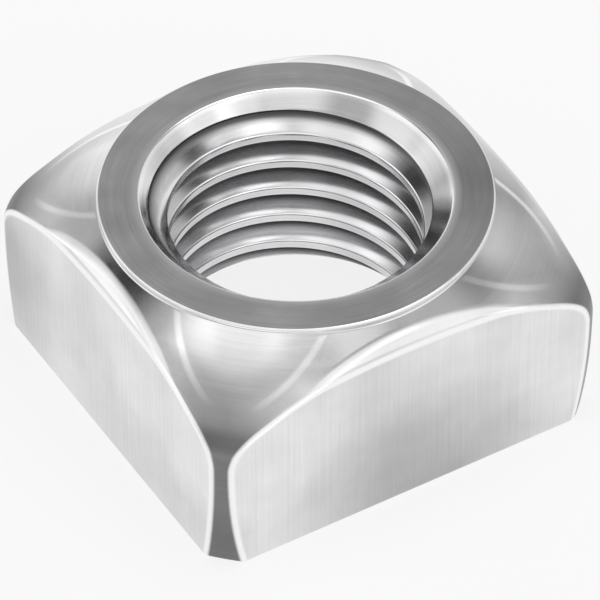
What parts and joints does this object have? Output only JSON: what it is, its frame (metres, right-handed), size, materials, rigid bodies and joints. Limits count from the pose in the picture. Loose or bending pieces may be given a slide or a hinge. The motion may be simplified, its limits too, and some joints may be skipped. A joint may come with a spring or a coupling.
{
  "type": "square nut",
  "caption": "Square nut with a coarse right-hand thread countersunk at both ends, a raised ring on top and corners rounded by a cone.",
  "frame": {"origin": "centre of the bearing face, on the thread's axis", "axes": "+Z along the thread's axis, from the bearing face to the raised ring; X and Y square to the flats"},
  "size_m": [0.024, 0.024, 0.0125],
  "materials": {
    "steel": "bright pressed steel, lightly polished, with turned ring and cut thread"
  },
  "bodies": {
    "root": {"nut": "steel"}
  },
  "joints": []
}
